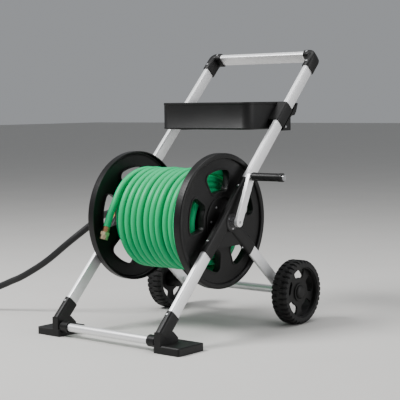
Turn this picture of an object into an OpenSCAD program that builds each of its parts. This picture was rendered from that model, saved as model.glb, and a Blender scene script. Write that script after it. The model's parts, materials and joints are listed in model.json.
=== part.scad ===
// Garden hose reel cart: a two-wheeled aluminium and plastic cart with a cranked hose reel,
// a storage tray and a lead-in hose. +X is the crank side, -Y the front, +Z up. The origin is
// the middle of the cart's footprint box, on the ground.

/* [Frame] */
// Distance between the middle planes of the two side tubes
frame_w = 412; // [380:1:500]
// Height of the handle tube's axis above the ground
handle_h = 846; // [780:1:1000]
// Lean of the side tubes from the vertical, in degrees
lean = 44; // [40:0.5:48]

/* [Tubes] */
// Wide side of the side tubes and the handle tube
tube_w = 39; // [36:0.5:46]
// Narrow side of the side tubes and the handle tube
tube_t = 18; // [16:0.5:24]
// Wide side of the rear legs
leg_w = 36; // [30:0.5:42]
// Narrow side of the rear legs
leg_t = 12; // [10:0.5:18]
// Wall of every frame tube
tube_wall = 1.5; // [1:0.1:2.5]
// Diameter of the front cross bar
bar_d = 24.5; // [20:0.5:30]
// Diameter of the rear cross tube
rear_bar_d = 25; // [20:0.5:30]

/* [Plastic joints] */
// Wall of the sleeves that grip the tubes
sleeve_wall = 3; // [2:0.1:5]
// Depth of tube held in each bracket sleeve
tube_grip = 92; // [60:1:110]
// Distance from the reel axis to each end of the bracket's long sleeve
sleeve_reach = 143; // [130:1:170]
// Distance from the reel axis to the end of the leg sleeve
leg_sleeve_reach = 141; // [125:1:170]
// Wall of the elbows
elbow_wall = 5; // [2:0.1:6]
// Depth of tube held in an elbow
elbow_grip = 34; // [26:1:44]
// Depth of tube held in a foot
foot_grip = 62; // [45:1:75]

/* [Feet] */
// Width of a foot's base plate
foot_w = 96; // [80:1:130]
// Length of a foot's base plate
foot_l = 111; // [95:1:150]
// Height of a foot's base plate
foot_h = 23; // [16:1:32]
// Diameter of the collars on the front cross bar
collar_d = 35; // [33:0.5:44]
// Length of a collar
collar_l = 28; // [18:1:40]

/* [Reel] */
// Height of the reel axis above the ground
reel_h = 344; // [330:1:420]
// Distance of the reel axis behind the middle line of the side tubes
reel_back = 19; // [10:0.5:24]
// Outer diameter of a flange
flange_d = 410; // [380:1:440]
// Distance between the outer faces of the two flange lips
flange_span = 374; // [340:1:376]
// Axial depth of the rolled lip
lip_depth = 25; // [18:0.5:32]
// Radial width of the rolled lip
lip_w = 17; // [12:0.5:22]
// Thickness of the flange's web
web_t = 4; // [3:0.2:6]
// Distance of the web's outer face below the lip's outer edge
web_inset = 8; // [5:0.5:10]
// Number of openings in a flange
flange_holes = 5; // [4:1:5]
// Inner radius of an opening
hole_in = 90; // [82:1:100]
// Outer radius of an opening
hole_out = 155; // [140:1:160]
// Half of an opening's angle, in degrees
hole_half = 22.5; // [16:0.5:25]
// Outer diameter of the drum
drum_d = 124; // [110:1:140]
// Wall of the drum
drum_wall = 3.5; // [3:0.1:6]
// Diameter of the crank shaft
shaft_d = 16; // [14:0.5:20]

/* [Hose] */
// Outer diameter of the garden hose
hose_d = 22; // [18:0.5:25]
// Layers of hose on the drum
hose_layers = 5; // [3:1:5]
// Outer diameter of the lead-in hose
leader_d = 22; // [18:0.5:24]

/* [Crank] */
// Distance from the reel axis to the grip's axis
crank_r = 147; // [120:1:170]
// Angle of the crank arm above the rearward horizontal, in degrees
crank_angle = 65; // [0:1:180]
// Width of the crank arm
arm_w = 26; // [22:0.5:32]
// Thickness of the crank arm
arm_t = 12; // [8:0.5:16]
// Length of the grip
grip_l = 111; // [95:1:135]
// Diameter of the grip at its middle
grip_d = 26; // [22:0.5:34]

/* [Wheels] */
// Diameter over the tread
wheel_d = 203; // [180:1:240]
// Width over the tread
wheel_w = 57; // [40:1:70]
// Gap between a rear leg and its wheel's hub
wheel_gap = 19; // [12:0.5:30]
// Distance from the foot of the side tube's middle line back to the axle
axle_back = 630; // [600:1:700]
// Diameter of the axle
axle_d = 12; // [10:0.5:16]
// Lugs around each edge of the tread
lugs = 36; // [24:1:44]

/* [Tray] */
// Height of the tray's floor underside above the ground
tray_z = 615; // [600:1:640]
// Height of the tray
tray_h = 86; // [70:1:95]
// Width of the tray
tray_w = 360; // [330:1:364]
// Depth of the tray from front to back
tray_d = 245; // [200:1:280]
// Wall of the tray
tray_wall = 3; // [2.5:0.1:5]
// Radius of the tray's upright corners
tray_r = 34; // [15:1:45]
// Distance from the foot of the side tube's middle line back to the tray's front face
tray_back = 489; // [470:1:510]

/* [Hidden] */
$fn = 72;

// Clearances
fit = 0.15;      // a tube in the sleeve that grips it
run = 0.05;      // a shaft in its bearing, on the radius
touch = 0.1;     // two faces that are fastened together
cord_gap = 0.4;  // the hose beside its neighbours
slack = 0.3;     // end play beside a piece that turns

// Small details
tube_r = 5;          // corner radius of the tube profile
leg_r = 4;           // corner radius of the rear leg profile
crown_r = 150;       // radius of the crowned wide sides
eps = 0.5;           // how far a cut runs past a face
screw_head = 3.8;
screw_shank = 2;
screw_l = 9;

// Colours
black = [0.09, 0.09, 0.1];
alu = [0.86, 0.86, 0.87];
steel = [0.7, 0.71, 0.73];
green = [0.1, 0.72, 0.42];
brass = [0.8, 0.65, 0.4];
copper = [0.75, 0.45, 0.25];

// Frame lines. Along a side tube, s is the distance from where its middle line meets the ground.
side_x = frame_w / 2;
grip_w = tube_w / 2 + fit + sleeve_wall;
grip_t = tube_t / 2 + fit + sleeve_wall;
hub_s = (reel_h + reel_back * sin(lean)) / cos(lean);
reel_y = hub_s * sin(lean) + reel_back * cos(lean);
handle_s = handle_h / cos(lean);
axle_z = wheel_d / 2;
leg_angle = atan2(reel_h - axle_z, axle_back - reel_y);
leg_l = norm([axle_back - reel_y, reel_h - axle_z]);
leg_grip_w = leg_w / 2 + fit + sleeve_wall;
leg_grip = 66;

// Feet
foot_block_h = 60;
foot_top_s = 138;
foot_in_x = side_x - grip_t - 5;
foot_front = foot_block_h * tan(lean) - grip_w / cos(lean);
bar_y = foot_front + collar_d / 2 + 1.5;
bar_z = 30;
bar_seat = 20;

// Elbows
elbow_drop = 59;
elbow_side = 46;
elbow_w = tube_w / 2 + fit + elbow_wall;
elbow_t = tube_t / 2 + fit + elbow_wall;
elbow_bend = elbow_t + slack;
elbow_fill = 10;
handle_end = side_x - 7;

// Bracket
hub_r = 30;
hub_proud = 0.5;
hub_in = 2;
bush_r = 11;
bush_recess_r = 26;
bush_flange_r = 25;
bush_flange_t = 3;
bush_screw_ring = 20.5;
web_drop = 74;
web_plate = 8;
bracket_screw_s = 107;
leg_screw_s = 102;
leg_tail = 16;
plug_l = 40;

// Reel, measured along the axis from the middle of the reel
lip_out = flange_span / 2;
lip_in = lip_out - lip_depth;
web_out = lip_out - web_inset;
web_in = web_out - web_t;
dish_r = 72;
dish_t = 3;
boss_ring_w = 5;
boss_ring_h = 3;
hub_boss_r = 23;
hub_boss_l = 34;
rim_w = 4;
rim_h = 1.8;
hole_r = 17;
hole_turn = 98;
screw_ring = 49;
screw_count = 6;
spigot_r = 14;
hub_face = side_x + grip_t + hub_proud;

// Hose winding
layer_step = hose_d * 0.84;
wind_in = drum_d / 2 + cord_gap;
wind_out = drum_d / 2 + hose_d + (hose_layers - 1) * layer_step;
wind_low = wind_out - hose_d - cord_gap;
wind_right = web_in - 5;
wind_left = -112;
wind_step = -144;
wind_foot = -(web_in - 5);

// Crank
boss_r = 14.5;
arm_in = side_x + 29;
arm_out = arm_in + arm_t;
grip_in = arm_out + 3;
pin_r = 5;
shaft_in = web_in - 32;
shaft_seat = 8;
bolt_head_r = 9;
bolt_head_t = 3;
arm_end = [crank_r * cos(crank_angle), crank_r * sin(crank_angle)];

// Wheels, measured along the axle from the wheel's inner face
wheel_in = side_x + leg_t / 2 + wheel_gap;
wheel_out = wheel_in + wheel_w;
axle_half = wheel_in + 38;
rim_r = wheel_d / 2 - 21;
rim_bed = 4;
disc_z = 33;
disc_t = 7;
wheel_hub_r = 29;
wheel_hub_l = 44;
cap_r = 22;
nut_recess_r = 17;
bearing_l = 30;
wheel_holes = 5;
wheel_hole_in = 45;
wheel_hole_out = 75;
wheel_hole_half = 23;
wheel_hole_r = 9;
lug_gap = 5.5;
lug_depth = 4.5;
lug_l = 21;

// Tray
tray_front = tray_back;
tray_bracket_s = 878;
tray_bracket_l = 75;
tray_rim = 1;
tray_bead = 4;

// Lead-in hose. The inlet stands out of the left bracket; x runs outwards from the cart's middle.
inlet_in = web_in - 25;
inlet_hex = hub_face + 0.3;
hex_t = 8;
thread_r = 13.2;
thread_l = 15;
nut_r = 17;
ferrule_l = 26;
inlet_nut_x = inlet_hex + hex_t + 1;
nut_l = thread_l + 3.4;
nut_thread_l = thread_l - 0.8;
nut_relief_r = thread_r + 0.7;
nut_back_t = 1.8;
nut_mouth_r = 10;
ferrule_r = 13;
leader_x = inlet_nut_x + nut_l + slack + ferrule_l;

// The box that the origin is centred under
box_right = grip_in + grip_l + slack + bolt_head_t;
box_left = -wheel_out;
elbow_a = tube_w / 2 - tube_r;
elbow_b = sqrt(pow(crown_r - tube_r, 2) - pow(elbow_a, 2)) - (crown_r - tube_t / 2);
box_rear = handle_s * sin(lean) + elbow_a * cos(lean) + elbow_b * sin(lean)
    + tube_r + fit + elbow_wall;
mid_x = (box_right + box_left) / 2;
mid_y = (foot_front + box_rear) / 2;

// ---- Frames of reference ----

// The cart's own frame to the part's frame
module place() translate([-mid_x, -mid_y, 0]) children();

// A right-hand shape on the right, or its mirror image on the left
module on_side(s) place() mirror([s < 0 ? 1 : 0, 0, 0]) children();

// Along a right side tube: +Z up the tube, +Y to its rear
module along_tube() translate([side_x, 0, 0]) rotate([-lean, 0, 0]) children();

// Along the right rear leg from the reel axis: +Z down the leg, +Y to its underside
module along_leg() translate([side_x, reel_y, reel_h]) rotate([-(90 + leg_angle), 0, 0]) children();

// About the reel axis at a distance x to the right: +X to the rear, +Y up, +Z to the right
module about_reel(x = 0) translate([x, reel_y, reel_h]) rotate([90, 0, 90]) children();

// About the axle in the same way
module about_axle(x = 0) translate([x, axle_back, axle_z]) rotate([90, 0, 90]) children();

// ---- Shared outlines ----

// Tube profile: narrow along X, wide along Y, with crowned wide sides, grown all round by grow
module oval(w, t, r, grow = 0) {
    a = w / 2 - r;
    b = sqrt(pow(crown_r - r, 2) - a * a) - (crown_r - t / 2);
    edge = a * (crown_r + grow) / (crown_r - r);
    for (i = [-1, 1], j = [-1, 1]) translate([i * b, j * a]) circle(r + grow);
    square([2 * b, 2 * (a + r + grow)], center = true);
    intersection() {
        translate([crown_r - t / 2, 0]) circle(crown_r + grow, $fn = 180);
        translate([t / 2 - crown_r, 0]) circle(crown_r + grow, $fn = 180);
        square([t + 2 * grow, 2 * edge], center = true);
    }
}

module tube_oval(grow = 0) oval(tube_w, tube_t, tube_r, grow);
module leg_oval(grow = 0) oval(leg_w, leg_t, leg_r, grow);

// Wedge about the +X axis
module wedge(half, r) polygon([[0, 0], [r, -r * tan(half)], [r, r * tan(half)]]);

// Rounded opening between two radii, centred on the +X axis
module opening(r_in, r_out, half, r) {
    turn_in = half - asin(r / (r_in + r));
    turn_out = half - asin(r / (r_out - r));
    side_in = sqrt(pow(r_in + r, 2) - r * r);
    side_out = sqrt(pow(r_out - r, 2) - r * r);
    function at(d, a) = [d * cos(a), d * sin(a)];
    polygon([
        at(r_in + r, -turn_in), at(side_in, -half), at(side_out, -half), at(r_out - r, -turn_out),
        at(r_out - r, turn_out), at(side_out, half), at(side_in, half), at(r_in + r, turn_in)
    ]);
    for (i = [-1, 1]) {
        translate(at(r_in + r, i * turn_in)) circle(r);
        translate(at(r_out - r, i * turn_out)) circle(r);
    }
    intersection() {
        difference() { circle(r_out, $fn = 144); circle(r_in + r, $fn = 144); }
        wedge(turn_out, r_out + 1);
    }
    intersection() {
        difference() { circle(r_out - r, $fn = 144); circle(r_in, $fn = 144); }
        wedge(turn_in, r_out + 1);
    }
}

// Rectangle with rounded corners
module round_square(size, r) {
    square([size.x - 2 * r, size.y], center = true);
    square([size.x, size.y - 2 * r], center = true);
    for (i = [-1, 1], j = [-1, 1])
        translate([i * (size.x / 2 - r), j * (size.y / 2 - r)]) circle(r);
}

module ring(r_out, r_in, h) difference() {
    cylinder(r = r_out, h = h);
    translate([0, 0, -eps]) cylinder(r = r_in, h = h + 2 * eps);
}

// Pan-head screw whose head sits at z = 0 and whose shank points down
module screw(l = screw_l) {
    cylinder(r = screw_head, h = 1.4);
    translate([0, 0, 1.4]) cylinder(r1 = screw_head, r2 = screw_head - 1.2, h = 0.9);
    translate([0, 0, -l]) cylinder(r = screw_shank, h = l);
}

// Every screw in the front narrow faces of a right side tube's sleeves
tube_screws = [foot_top_s - 14, hub_s - bracket_screw_s, hub_s + bracket_screw_s];
module at_tube_screws() along_tube() {
    for (s = tube_screws) translate([0, -grip_w - touch, s]) rotate([90, 0, 0]) children();
    translate([0, -elbow_w - touch, handle_s - elbow_drop + 16]) rotate([90, 0, 0]) children();
}
module at_handle_screw() along_tube()
    translate([elbow_t - elbow_side + 12, -elbow_w - touch, handle_s]) rotate([90, 0, 0]) children();
module at_leg_screw() along_leg()
    translate([0, leg_grip_w + touch, leg_screw_s]) rotate([-90, 0, 0]) children();
module screw_hole() translate([0, 0, -screw_l - 1]) cylinder(r = screw_shank + fit, h = screw_l + 2);

// ---- Hoses ----

function unit(v) = v / norm(v);

// Point on a smooth curve through points p, t of the way from point i to the next
function smooth(p, i, t) = let (
    n = len(p) - 1, a = p[max(i - 1, 0)], b = p[i], c = p[i + 1], d = p[min(i + 2, n)]
) 0.5 * (2 * b + (c - a) * t + (2 * a - 5 * b + 4 * c - d) * t * t
    + (3 * b - a - 3 * c + d) * t * t * t);

// Each stretch of the route in the given number of steps, with its last point
function route(p, steps) = concat(
    [for (i = [0:len(p) - 2], j = [0:steps - 1]) smooth(p, i, j / steps)], [p[len(p) - 1]]
);

// Round hose along a list of points; side is a direction that the hose never takes
module hose(p, r, side, sides = 12) {
    n = len(p) - 1;
    way = [for (i = [0:n]) unit(p[min(i + 1, n)] - p[max(i - 1, 0)])];
    across = [for (i = [0:n]) unit(cross(side, way[i]))];
    rings = [
        for (i = [0:n], k = [0:sides - 1]) p[i] + r * (
            cos(360 * k / sides) * across[i] + sin(360 * k / sides) * cross(way[i], across[i])
        )
    ];
    caps = [[for (k = [0:sides - 1]) k], [for (k = [0:sides - 1]) (n + 1) * sides - 1 - k]];
    skin = [
        for (i = [0:n - 1], k = [0:sides - 1]) let (
            a = i * sides + k, b = i * sides + (k + 1) % sides, c = b + sides, d = a + sides
        ) each [[a, d, c], [a, c, b]]
    ];
    polyhedron(rings, concat(caps, skin));
}

// Turns +Z to the direction d and moves the origin to p
module aim(p, d) translate(p) rotate([0, acos(d.z / norm(d)), atan2(d.y, d.x)]) children();

// Free end of the wound hose, from the middle of the reel
hose_end_points = [
    [-118, 36, 143], [-122, -6, 147], [-126, -50, 138], [-129, -92, 115], [-131, -118, 88],
    [-133, -136, 56], [-140, -150, 20], [-144, -159, -8], [-145.5, -163, -21]
];
hose_end_way = [-0.09, -0.3, -0.95];
hose_end_at = hose_end_points[len(hose_end_points) - 1];
end_ferrule_l = 17;
end_hex_l = 10;
end_thread_l = 13;

// Lead-in hose in the part's own frame: down from the inlet to the ground, then a loop on the ground
coil_at = [-1040, -205];
coil_r = 131;
coil_from = -72;
coil_turn = 240;
coil_trim = 0.2;
leader_r = leader_d / 2;
function on_coil(a) = [coil_at.x + coil_r * cos(a), coil_at.y + coil_r * sin(a), leader_r];
function coil_way(a) = [sin(a), -cos(a), 0];
leader_start = [-leader_x - cord_gap - mid_x, reel_y - mid_y, reel_h];
leader_points = [
    leader_start, leader_start - [22, 0, 0.3], [-364, -75, 332], [-408, -95, 296], [-468, -128, 243],
    [-548, -157, 177], [-628, -186, 126], [-673, -202, 105], [-708, -215, 89], [-788, -247, 55],
    [-868, -279, 29], [-938, -308, 14],
    on_coil(coil_from) - 10 * coil_way(coil_from), on_coil(coil_from)
];
coil_to = coil_from - coil_turn;
tail_points = [
    on_coil(coil_to), on_coil(coil_to) + 10 * coil_way(coil_to), [-930, -128, 11.5], [-906, -150, 14],
    [-884, -171, 17.2], [-864, -191, 17.4]
];
tail_end = tail_points[len(tail_points) - 1];
tail_way = [20, -20, 0];

// ---- Frame ----

module side_tube(side, from, to) color(alu) on_side(side) difference() {
    along_tube() translate([0, 0, from]) linear_extrude(to - from) difference() {
        tube_oval();
        tube_oval(-tube_wall);
    }
    at_tube_screws() screw_hole();
}

module upper_tube(side)
    side_tube(side, hub_s + sleeve_reach - tube_grip, handle_s - elbow_drop + elbow_grip);
module lower_tube(side) side_tube(side, foot_top_s - foot_grip, hub_s - sleeve_reach + tube_grip);

// A profile run from one side of the cart to the other at the height of the handle
module across_handle(from, to) rotate([-lean, 0, 0]) translate([from, 0, handle_s])
    rotate([0, 90, 0]) linear_extrude(to - from) children();

module handle_tube() color(alu) place() difference() {
    across_handle(-handle_end, handle_end) difference() {
        tube_oval();
        tube_oval(-tube_wall);
    }
    for (m = [0, 1]) mirror([m, 0, 0]) at_handle_screw() screw_hole();
}

module elbow(side) color(black) on_side(side) difference() {
    union() {
        along_tube() {
            translate([0, 0, handle_s - elbow_drop]) linear_extrude(elbow_drop - elbow_bend)
                tube_oval(fit + elbow_wall);
            translate([-elbow_bend, 0, handle_s - elbow_bend]) rotate([90, 0, 0])
                rotate_extrude(angle = 90) translate([elbow_bend, 0]) tube_oval(fit + elbow_wall);
            translate([1 - elbow_t, elbow_w - 3, handle_s - elbow_t + 1]) rotate([90, 0, 0])
                linear_extrude(2 * elbow_w - 6) polygon([[0, 0], [-elbow_fill, 0], [0, -elbow_fill]]);
        }
        across_handle(side_x + elbow_t - elbow_side, side_x - elbow_bend) tube_oval(fit + elbow_wall);
    }
    along_tube() translate([0, 0, handle_s - elbow_drop - eps]) linear_extrude(elbow_grip + 2 * eps)
        tube_oval(fit);
    across_handle(side_x + elbow_t - elbow_side - eps, handle_end + eps) tube_oval(fit);
    at_tube_screws() screw_hole();
    at_handle_screw() screw_hole();
}

// Height z of the middle line of a side tube or of the rear leg, as a point [y, z]
function on_tube(z) = [z * tan(lean), z];
function on_leg(z) = [reel_y + (reel_h - z) / tan(leg_angle), z];
// Point [y, z] at s along a side tube and p behind its middle line
function beside_tube(s, p) = [s * sin(lean) + p * cos(lean), s * cos(lean) - p * sin(lean)];

// An outline [y, z] run from x = from to x = to
module side_plate(from, to) translate([from, 0, 0]) rotate([90, 0, 90]) linear_extrude(to - from)
    children();

// Plastic joint that grips two side tubes and the rear leg and carries the reel
module bracket(side, bore_r) color(black) on_side(side) difference() {
    web_z = reel_h - web_drop;
    union() {
        along_tube() translate([0, 0, hub_s - sleeve_reach]) linear_extrude(2 * sleeve_reach)
            tube_oval(fit + sleeve_wall);
        along_leg() linear_extrude(leg_sleeve_reach) leg_oval(fit + sleeve_wall);
        about_reel(side_x - grip_t - hub_in) cylinder(r = hub_r, h = hub_face - side_x + grip_t + hub_in);
        side_plate(side_x - web_plate / 2, side_x + web_plate / 2)
            polygon([[reel_y, reel_h], on_tube(web_z), on_leg(web_z)]);
    }
    along_tube() for (s = [hub_s - sleeve_reach, hub_s + sleeve_reach - tube_grip])
        translate([0, 0, s - eps]) linear_extrude(tube_grip + 2 * eps) tube_oval(fit);
    along_leg() translate([0, 0, leg_sleeve_reach - leg_grip - eps])
        linear_extrude(leg_grip + 2 * eps) leg_oval(fit);
    about_reel(side_x - grip_t - hub_in - eps) cylinder(r = bore_r, h = 2 * grip_t + hub_in + 2);
    about_reel(hub_face - bush_flange_t) cylinder(r = bush_recess_r, h = bush_flange_t + eps);
    at_tube_screws() screw_hole();
    at_leg_screw() screw_hole();
    at_bushing_screws() screw_hole();
}

module foot(side) color(black) on_side(side) difference() {
    bevel = 3;
    high = foot_h - bevel;
    out_x = foot_in_x + foot_w;
    back = foot_front + foot_l;
    socket_s = foot_top_s - foot_grip;
    block_half = grip_t - 0.6;
    sleeve_s = (foot_block_h - grip_w * sin(lean)) / cos(lean) + 1;
    union() {
        intersection() {
            side_plate(foot_in_x, out_x) polygon([
                [foot_front, 0], [foot_front, high], [foot_front + bevel, foot_h],
                [back - bevel, foot_h], [back, high], [back, 0]
            ]);
            translate([0, back, 0]) rotate([90, 0, 0]) linear_extrude(foot_l) polygon([
                [foot_in_x, 0], [foot_in_x, foot_h], [out_x - bevel, foot_h], [out_x, high], [out_x, 0]
            ]);
            translate([foot_in_x + foot_w / 2, foot_front + foot_l / 2, 0])
                linear_extrude(foot_h) round_square([foot_w, foot_l], 6);
        }
        side_plate(side_x - block_half, side_x + block_half) polygon([
            [foot_front, 0], [foot_front, foot_block_h - 1], on_tube(foot_block_h),
            beside_tube(foot_block_h + 38, grip_w - 1), [foot_front + 77, foot_block_h - 24],
            [foot_front + 77, 0]
        ]);
        along_tube() translate([0, 0, sleeve_s]) linear_extrude(foot_top_s - sleeve_s)
            tube_oval(fit + sleeve_wall);
    }
    along_tube() translate([0, 0, socket_s - eps]) linear_extrude(foot_grip + 30) tube_oval(fit);
    translate([foot_in_x - eps, bar_y, bar_z]) rotate([0, 90, 0])
        cylinder(r = bar_d / 2 + fit, h = bar_seat + 2 * eps);
    at_tube_screws() screw_hole();
}

module cross_tube(r, half) rotate([0, 90, 0]) translate([0, 0, -half]) ring(r, r - tube_wall, 2 * half);

module front_cross_bar() color(alu) place() translate([0, bar_y, bar_z])
    cross_tube(bar_d / 2, foot_in_x + bar_seat);

module bar_collar(side) color(black) on_side(side)
    translate([foot_in_x - collar_l, bar_y, bar_z]) rotate([0, 90, 0])
        ring(collar_d / 2, bar_d / 2 + fit, collar_l - touch);

module rear_leg(side) color(alu) on_side(side) difference() {
    along_leg() translate([0, 0, leg_sleeve_reach - leg_grip])
        linear_extrude(leg_l + leg_tail - leg_sleeve_reach + leg_grip) difference() {
            leg_oval();
            leg_oval(-tube_wall);
        }
    about_axle(side_x - leg_t) cylinder(r = axle_d / 2 + slack, h = 2 * leg_t);
    at_leg_screw() screw_hole();
}

module rear_cross_tube() color(alu) place() translate([0, axle_back, axle_z])
    cross_tube(rear_bar_d / 2, side_x - leg_t / 2 - touch);

// Plug in the foot of the rear leg, which seats the axle
module axle_plug(side) color(black) on_side(side) difference() {
    along_leg() {
        translate([0, 0, leg_l - plug_l]) linear_extrude(plug_l + leg_tail + touch)
            leg_oval(-tube_wall - fit);
        translate([0, 0, leg_l + leg_tail + touch]) linear_extrude(3) leg_oval();
    }
    about_axle(side_x - leg_t) cylinder(r = axle_d / 2 + run, h = 2 * leg_t);
}

module axle() color(steel) place() about_axle(-axle_half) cylinder(r = axle_d / 2, h = 2 * axle_half);

module axle_spacers() color(black) for (side = [-1, 1]) on_side(side)
    about_axle(side_x + leg_t / 2 + touch)
        ring(axle_d / 2 + 4, axle_d / 2 + run, wheel_gap - touch - slack);

module axle_nuts() color(steel) for (side = [-1, 1]) on_side(side)
    about_axle(wheel_in + bearing_l + slack) difference() {
        cylinder(r = axle_d * 0.85, h = 5, $fn = 6);
        translate([0, 0, -eps]) cylinder(r = axle_d / 2 + run, h = 6);
    }

module joint_screws() color(steel) for (side = [-1, 1]) on_side(side) {
    at_tube_screws() screw();
    at_handle_screw() screw();
    at_leg_screw() screw();
}

// ---- Wheels ----

module wheel_rim(side) color(black) on_side(side) about_axle(wheel_in) difference() {
    union() {
        translate([0, 0, rim_bed]) ring(rim_r, rim_r - rim_bed, wheel_w - 2 * rim_bed);
        translate([0, 0, disc_z]) cylinder(r = rim_r - 1, h = disc_t);
        cylinder(r = wheel_hub_r, h = wheel_hub_l);
    }
    translate([0, 0, -eps]) cylinder(r = axle_d / 2 + run, h = wheel_hub_l);
    translate([0, 0, bearing_l]) cylinder(r = nut_recess_r, h = wheel_hub_l);
    for (i = [0:wheel_holes - 1]) rotate([0, 0, 90 + 360 * i / wheel_holes])
        translate([0, 0, disc_z - eps]) linear_extrude(disc_t + 2 * eps)
            opening(wheel_hole_in, wheel_hole_out, wheel_hole_half, wheel_hole_r);
}

module tyre(side) color([0.12, 0.12, 0.12]) on_side(side) about_axle(wheel_in) difference() {
    r = wheel_d / 2;
    shoulder = 8;
    base = rim_r + touch;
    rotate_extrude($fn = 180) {
        translate([base, 0]) square([r - shoulder - base, wheel_w]);
        translate([base, shoulder]) square([r - base, wheel_w - 2 * shoulder]);
        for (z = [shoulder, wheel_w - shoulder]) translate([r - shoulder, z]) circle(shoulder);
    }
    for (i = [0:lugs - 1], end = [0, 1]) rotate([0, 0, 360 * (i + end / 2) / lugs])
        translate([r - lug_depth, -lug_gap / 2, end * (wheel_w - lug_l) - (1 - end)])
            cube([2 * lug_depth, lug_gap, lug_l + 1]);
}

module hub_cap(side) color(black) on_side(side) about_axle(wheel_in + wheel_hub_l + touch) {
    rotate_extrude() polygon([
        [0, 0], [cap_r, 0], [cap_r, 2], [cap_r - 2, 4.5], [cap_r - 8, 6.5], [0, 7.5]
    ]);
    translate([0, 0, -5]) ring(nut_recess_r - touch, nut_recess_r - 2, 6);
}

// ---- Tray ----

module storage_tray() color(black) place() translate([0, tray_front + tray_d / 2, tray_z])
    difference() {
        size = [tray_w, tray_d];
        union() {
            linear_extrude(tray_h) round_square(size, tray_r);
            for (z = [0, tray_h - tray_bead]) translate([0, 0, z]) linear_extrude(tray_bead)
                round_square([tray_w + 2 * tray_rim, tray_d + 2 * tray_rim], tray_r + tray_rim);
        }
        translate([0, 0, tray_wall]) linear_extrude(tray_h)
            round_square([tray_w - 2 * tray_wall, tray_d - 2 * tray_wall], tray_r - tray_wall);
        translate([0, -tray_front - tray_d / 2, -tray_z]) for (m = [0, 1]) mirror([m, 0, 0])
            at_tray_wall_screws() screw_hole();
    }

tray_face = tray_w / 2 + tray_rim + touch;
tray_low = tray_z - 5;
clip_out_x = side_x + grip_t - 2;
clip_foot_s = (tray_low + (grip_w + touch) * sin(lean)) / cos(lean);
clip_foot_y = beside_tube(clip_foot_s, grip_w + touch).x;
clip_rear_y = clip_foot_y + 45;
clip_neck_s = clip_foot_s + (clip_rear_y - clip_foot_y) / sin(lean);
clip_neck = beside_tube(clip_neck_s, grip_w + touch);
clip_fin_s = clip_neck_s + 55;
tray_screw_s = tray_bracket_s + tray_bracket_l / 2;

module tray_bracket(side) color(black) on_side(side) difference() {
    along_tube() translate([0, 0, tray_bracket_s]) {
        linear_extrude(tray_bracket_l) tube_oval(fit + sleeve_wall);
        translate([tray_face - side_x, -grip_w, 0])
            cube([side_x - tray_face, 2 * grip_w, tray_bracket_l]);
    }
    along_tube() translate([0, 0, tray_bracket_s - eps]) linear_extrude(tray_bracket_l + 2 * eps)
        tube_oval(fit);
    at_tray_wall_screws() screw_hole();
}

module tray_clip(side) color(black) on_side(side) difference() {
    union() {
        side_plate(side_x - tube_t / 2, clip_out_x) polygon([
            [clip_foot_y, tray_low], [clip_rear_y, tray_low], clip_neck - [0, 6],
            beside_tube(clip_neck_s + 4, grip_w + 5), beside_tube(clip_neck_s + 16, grip_w + 15),
            beside_tube(clip_neck_s + 30, grip_w + 14), beside_tube(clip_fin_s, grip_w + 3),
            beside_tube(clip_fin_s, grip_w + touch)
        ]);
        side_plate(tray_face, side_x - tube_t / 2 + 1)
            polygon([[clip_foot_y, tray_low], [clip_rear_y, tray_low], clip_neck - [0, 6]]);
    }
    at_tray_clip_screw() screw_hole();
}

// Two screws from inside the tray into the bracket on the tube
module at_tray_wall_screws() along_tube() for (p = [-9, 9])
    translate([tray_w / 2 - tray_wall - touch - side_x, p, tray_screw_s]) rotate([0, -90, 0]) children();
module at_tray_clip_screw() translate([clip_out_x + touch, clip_foot_y + 18, tray_low + 12])
    rotate([0, 90, 0]) children();

module tray_screws() color(steel) for (side = [-1, 1]) on_side(side) {
    at_tray_wall_screws() screw(screw_l + 1);
    at_tray_clip_screw() screw();
}

// ---- Reel ----

// Ring of the flange's section, from radius r0 to r1 and from z0 to z1 along the axis
module section(r0, r1, z0, z1) translate([r0, z0]) square([r1 - r0, z1 - z0]);

module flange(side, bore_r) color(black) on_side(side) about_reel() difference() {
    r = flange_d / 2;
    edge = 5;
    skin = 3.5;
    low = r - lip_w;
    ring_r = dish_r + boss_ring_w;
    union() {
        rotate_extrude($fn = 180) {
            section(r - skin, r, lip_in, lip_out - edge);
            section(low + edge, r - edge, lip_out - skin, lip_out);
            section(low, low + skin, web_in, lip_out - edge);
            for (x = [low + edge, r - edge]) translate([x, lip_out - edge]) circle(edge);
            section(ring_r - 1, low + 1, web_in, web_out);
            section(dish_r, ring_r, web_in - dish_t, web_out + boss_ring_h);
            section(hub_boss_r - 1, dish_r + 1, web_in - dish_t, web_out - dish_t);
        }
        translate([0, 0, web_in - hub_boss_l])
            cylinder(r = hub_boss_r, h = side_x - grip_t - hub_in - slack - web_in + hub_boss_l);
        for (i = [0:flange_holes - 1]) rotate([0, 0, hole_turn + 360 * i / flange_holes])
            translate([0, 0, web_in]) linear_extrude(web_t + rim_h)
                opening(hole_in - rim_w, hole_out + rim_w, hole_half + 1.9, hole_r + rim_w);
    }
    for (i = [0:flange_holes - 1]) rotate([0, 0, hole_turn + 360 * i / flange_holes])
        translate([0, 0, web_in - eps]) linear_extrude(web_t + rim_h + 2 * eps)
            opening(hole_in, hole_out, hole_half, hole_r);
    cylinder(r = bore_r, h = side_x);
    at_flange_screws() screw_hole();
}

// Screws that hold a flange to the end of the drum, in the frame of about_reel
module at_flange_screws() for (i = [0:screw_count - 1]) rotate([0, 0, 360 * i / screw_count])
    translate([screw_ring, 0, web_out - dish_t + touch]) children();

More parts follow.
